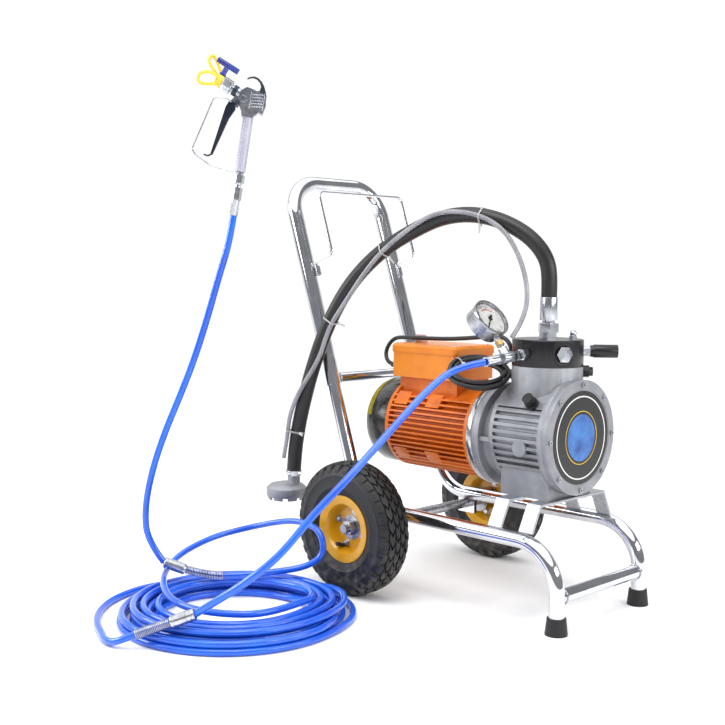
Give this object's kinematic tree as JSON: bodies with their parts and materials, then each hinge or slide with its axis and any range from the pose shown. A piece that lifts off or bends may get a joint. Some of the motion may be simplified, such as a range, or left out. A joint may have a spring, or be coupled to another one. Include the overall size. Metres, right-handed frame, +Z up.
{
  "type": "airless paint sprayer",
  "caption": "Airless paint sprayer: an electric motor and diaphragm pump on a two-wheeled tube cart, with suction hose, coiled pressure hose and spray gun.",
  "frame": {"origin": "on the floor, below the middle of the wheel axle", "axes": "+X along the cart towards the front feet and the pump's round cover, +Y to the side away from the coiled hose, +Z up"},
  "size_m": [0.7482, 0.972, 1.0057],
  "materials": {
    "chromed_tube": "polished",
    "zinc": "zinc plated",
    "steel": "machined",
    "rubber_black": "moulded",
    "tyre_black": "moulded tread",
    "rim_yellow": "gloss",
    "motor_orange": "gloss",
    "box_orange": "satin",
    "black_plastic": "satin",
    "black_paint": "gloss",
    "cast_aluminium": "bead blasted",
    "bright_aluminium": "machined",
    "anodised_black": "black anodised",
    "hose_black": "satin",
    "hose_blue": "gloss",
    "clear_tube": "clear plastic",
    "cable_black": "satin",
    "knob_pink": "gloss",
    "gun_silver": "polished casting",
    "grip_lavender": "satin",
    "trigger_dark": "satin",
    "tip_yellow": "gloss",
    "tip_blue": "gloss",
    "needle_black": "matt",
    "copper_windings": "enamelled",
    "diaphragm_rubber": "matt"
  },
  "bodies": {
    "cart": {"side_frame_right": "chromed_tube", "side_frame_left": "chromed_tube", "front_crossbar": "chromed_tube", "push_handle": "chromed_tube", "hose_rack": "chromed_tube", "axle": "steel", "frame_bolts": "zinc", "support_straps": "zinc", "rubber_feet": "rubber_black", "motor_housing": "motor_orange", "fan_cover": "black_paint", "stator": "copper_windings", "motor_bearings": "steel", "terminal_box": "box_orange", "terminal_box_lid": "box_orange", "run_capacitor": "black_plastic", "cable_gland": "black_plastic", "adapter_flange": "bright_aluminium", "pump_casing": "cast_aluminium", "front_cover": "cast_aluminium", "cover_screws": "steel", "pump_head": "anodised_black", "diaphragm": "diaphragm_rubber", "suction_fitting": "zinc", "outlet_valve": "zinc", "relief_valve": "zinc", "oil_plugs": "black_plastic", "outlet_tee": "zinc", "gauge_case": "steel", "suction_hose": "hose_black", "suction_strainer": "cast_aluminium", "drain_tube": "clear_tube", "feed_hose": "hose_blue", "hose_coil": "hose_blue", "whip_hose": "hose_blue", "hose_couplings": "zinc", "power_cable": "cable_black", "cable_bundle": "cable_black", "power_plug": "black_plastic", "swivel_fitting": "zinc", "piston_spring": "steel"},
    "wheel_right": {"wheel_right_tyre": "tyre_black", "wheel_right_rim": "rim_yellow", "wheel_right_hub": "steel"},
    "wheel_left": {"wheel_left_tyre": "tyre_black", "wheel_left_rim": "rim_yellow", "wheel_left_hub": "steel"},
    "rotor": {"rotor": "steel", "cooling_fan": "black_plastic", "eccentric": "steel"},
    "piston": {"piston": "steel"},
    "switch": {"switch_knob": "knob_pink"},
    "knob": {"pressure_knob": "anodised_black"},
    "needle": {"gauge_needle": "needle_black"},
    "gun": {"gun_body": "gun_silver", "gun_grip": "grip_lavender", "trigger_guard": "zinc"},
    "trigger": {"trigger": "trigger_dark"},
    "tip_guard": {"tip_guard": "tip_yellow"},
    "tip": {"tip_handle": "tip_blue"}
  },
  "joints": [
    {"name": "wheel_right_spin", "type": "hinge", "parent": "cart", "child": "wheel_right", "pos_m": [0, -0.215, 0.13], "axis": [0, 1, 0], "continuous": true},
    {"name": "wheel_left_spin", "type": "hinge", "parent": "cart", "child": "wheel_left", "pos_m": [0, 0.215, 0.13], "axis": [0, 1, 0], "continuous": true},
    {"name": "rotor_spin", "type": "hinge", "parent": "cart", "child": "rotor", "pos_m": [0.1, 0, 0.316], "axis": [1, 0, 0], "continuous": true},
    {"name": "piston_stroke", "type": "slide", "parent": "cart", "child": "piston", "axis": [0, 0, 1], "range_m": [0, 0.008], "stiffness_N_per_m": 2500, "springref_m": -0.008, "deforming": ["piston_spring"]},
    {"name": "switch_turn", "type": "hinge", "parent": "cart", "child": "switch", "pos_m": [-0.03, 0.009, 0.48], "axis": [0, 0, 1], "range_deg": [0, 90]},
    {"name": "pressure_turn", "type": "hinge", "parent": "cart", "child": "knob", "pos_m": [0.35341, 0.05354, 0.481], "axis": [0.7314, 0.682, 0], "range_deg": [-360, 360]},
    {"name": "gauge_needle_turn", "type": "hinge", "parent": "cart", "child": "needle", "pos_m": [0.25182, -0.11776, 0.54056], "axis": [0.788, 0, 0.6157], "range_deg": [-270, 0], "stiffness_Nm_per_rad": 0.0002, "springref_deg": 11.46},
    {"name": "gun_swivel", "type": "hinge", "parent": "cart", "child": "gun", "pos_m": [-0.0613, -0.4432, 0.799], "axis": [0.0917, 0.1159, 0.989], "continuous": true},
    {"name": "trigger_pull", "type": "hinge", "parent": "gun", "child": "trigger", "pos_m": [-0.06784, -0.45147, 0.91787], "axis": [0.7844, -0.6203, 0], "range_deg": [0, 20], "stiffness_Nm_per_rad": 0.8, "springref_deg": -20.05},
    {"name": "tip_guard_turn", "type": "hinge", "parent": "gun", "child": "tip_guard", "pos_m": [-0.07061, -0.45498, 0.94512], "axis": [-0.5317, -0.6723, 0.515], "range_deg": [-90, 90]},
    {"name": "tip_turn", "type": "hinge", "parent": "tip_guard", "child": "tip", "pos_m": [-0.08417, -0.47212, 0.95826], "axis": [0.3195, 0.404, 0.8572], "range_deg": [0, 180]}
  ]
}
